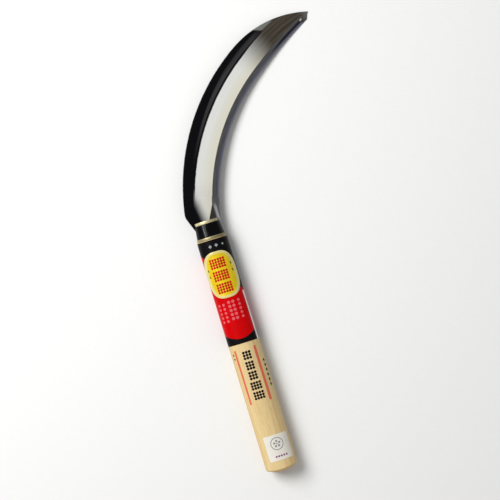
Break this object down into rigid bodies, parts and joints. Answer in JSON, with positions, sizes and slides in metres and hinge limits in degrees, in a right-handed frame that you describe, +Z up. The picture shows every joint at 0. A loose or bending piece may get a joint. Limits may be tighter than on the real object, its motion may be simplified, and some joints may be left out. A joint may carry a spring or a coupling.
{
  "type": "hand sickle",
  "caption": "Hand sickle: a crescent blade with one bevel and a hard steel edge, let into an oval wooden handle with a black ferrule, brass rings and a printed wrap.",
  "frame": {"origin": "centre of the handle's butt face, on the handle's axis", "axes": "+Y along the handle from the butt to the blade, +X to the side that the blade's tip points to, +Z up, away from the table that the tool lies on with its bevelled face up"},
  "size_m": [0.1644, 0.4022, 0.0249],
  "materials": {
    "handle_wood": "pale straight-grained hardwood, lightly sealed",
    "pin_steel": "plain drawn wire",
    "blade_iron": "black forge scale on the flat, satin grinding on the bevel",
    "edge_steel": "fine ground, dark hardened steel",
    "black_enamel": "gloss black",
    "ring_brass": "bright",
    "printed_wrap": "gloss film, printed black and red",
    "foil_badge": "gloss foil, yellow with a cream border",
    "sticker_paper": "matt white paper",
    "print_ink": "screen-printed ink marks on the wood, the wrap, the badge and the sticker"
  },
  "bodies": {
    "root": {"handle": "handle_wood", "tang_pin": "pin_steel", "blade_body": "blade_iron", "edge_steel": "edge_steel", "ferrule": "black_enamel", "upper_ring": "ring_brass", "lower_ring": "ring_brass", "wrap_label": "printed_wrap", "oval_badge": "foil_badge", "butt_sticker": "sticker_paper"}
  },
  "joints": []
}
